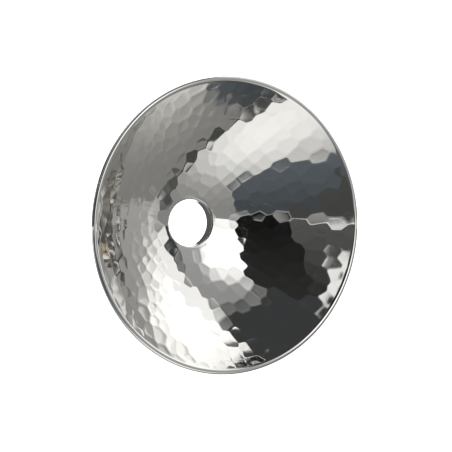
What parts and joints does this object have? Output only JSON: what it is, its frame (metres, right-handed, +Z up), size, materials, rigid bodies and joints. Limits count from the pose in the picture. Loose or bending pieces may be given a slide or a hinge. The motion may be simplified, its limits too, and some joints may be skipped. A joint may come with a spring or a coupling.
{
  "type": "flash gun reflector",
  "caption": "Hammered bowl reflector with a wired rim, a drawn neck for the bulb and a socket with thumbscrews.",
  "frame": {"origin": "centre of the shoulder at the bottom of the collar's socket, where the lamp head's face seats", "axes": "+Y along the optical axis to the rear, out of the socket; the bowl's mouth faces -Y; +Z up"},
  "size_m": [0.178, 0.0727, 0.178],
  "materials": {
    "polished_aluminium": "polished and hammered",
    "galvanised_wire": "drawn",
    "vulcanised_fibre": "stamped vulcanised fibre",
    "nickel_collar": "turned, nickelled",
    "plated_steel": "zinc plated",
    "pad_brass": "turned",
    "nickel_head": "knurled, nickelled"
  },
  "bodies": {
    "reflector": {"reflector_bowl": "polished_aluminium", "rim_wire": "galvanised_wire", "fibre_washer": "vulcanised_fibre", "mount_collar": "nickel_collar", "clinch_washer": "plated_steel"},
    "pad_1": {"swivel_pad_1": "pad_brass"},
    "screw_1": {"thumbscrew_shank_1": "plated_steel", "thumbscrew_head_1": "nickel_head"},
    "pad_2": {"swivel_pad_2": "pad_brass"},
    "screw_2": {"thumbscrew_shank_2": "plated_steel", "thumbscrew_head_2": "nickel_head"},
    "pad_3": {"swivel_pad_3": "pad_brass"},
    "screw_3": {"thumbscrew_shank_3": "plated_steel", "thumbscrew_head_3": "nickel_head"}
  },
  "joints": [
    {"name": "pad_1_slide", "type": "slide", "parent": "reflector", "child": "pad_1", "axis": [0, 0, -1], "range_m": [0, 0.003]},
    {"name": "screw_1_turn", "type": "hinge", "parent": "pad_1", "child": "screw_1", "pos_m": [0, 0.0055, 0.03], "axis": [0, 0, -1], "range_deg": [0, 1543]},
    {"name": "pad_2_slide", "type": "slide", "parent": "reflector", "child": "pad_2", "axis": [0.866, 0, 0.5], "range_m": [0, 0.003]},
    {"name": "screw_2_turn", "type": "hinge", "parent": "pad_2", "child": "screw_2", "pos_m": [-0.02598, 0.0055, -0.015], "axis": [0.866, 0, 0.5], "range_deg": [0, 1543]},
    {"name": "pad_3_slide", "type": "slide", "parent": "reflector", "child": "pad_3", "axis": [-0.866, 0, 0.5], "range_m": [0, 0.003]},
    {"name": "screw_3_turn", "type": "hinge", "parent": "pad_3", "child": "screw_3", "pos_m": [0.02598, 0.0055, -0.015], "axis": [-0.866, 0, 0.5], "range_deg": [0, 1543]}
  ],
  "couplings": [
    {"joint": "screw_1_turn", "follows": "pad_1_slide", "rad_per_m": 8976},
    {"joint": "screw_2_turn", "follows": "pad_2_slide", "rad_per_m": 8976},
    {"joint": "screw_3_turn", "follows": "pad_3_slide", "rad_per_m": 8976}
  ]
}
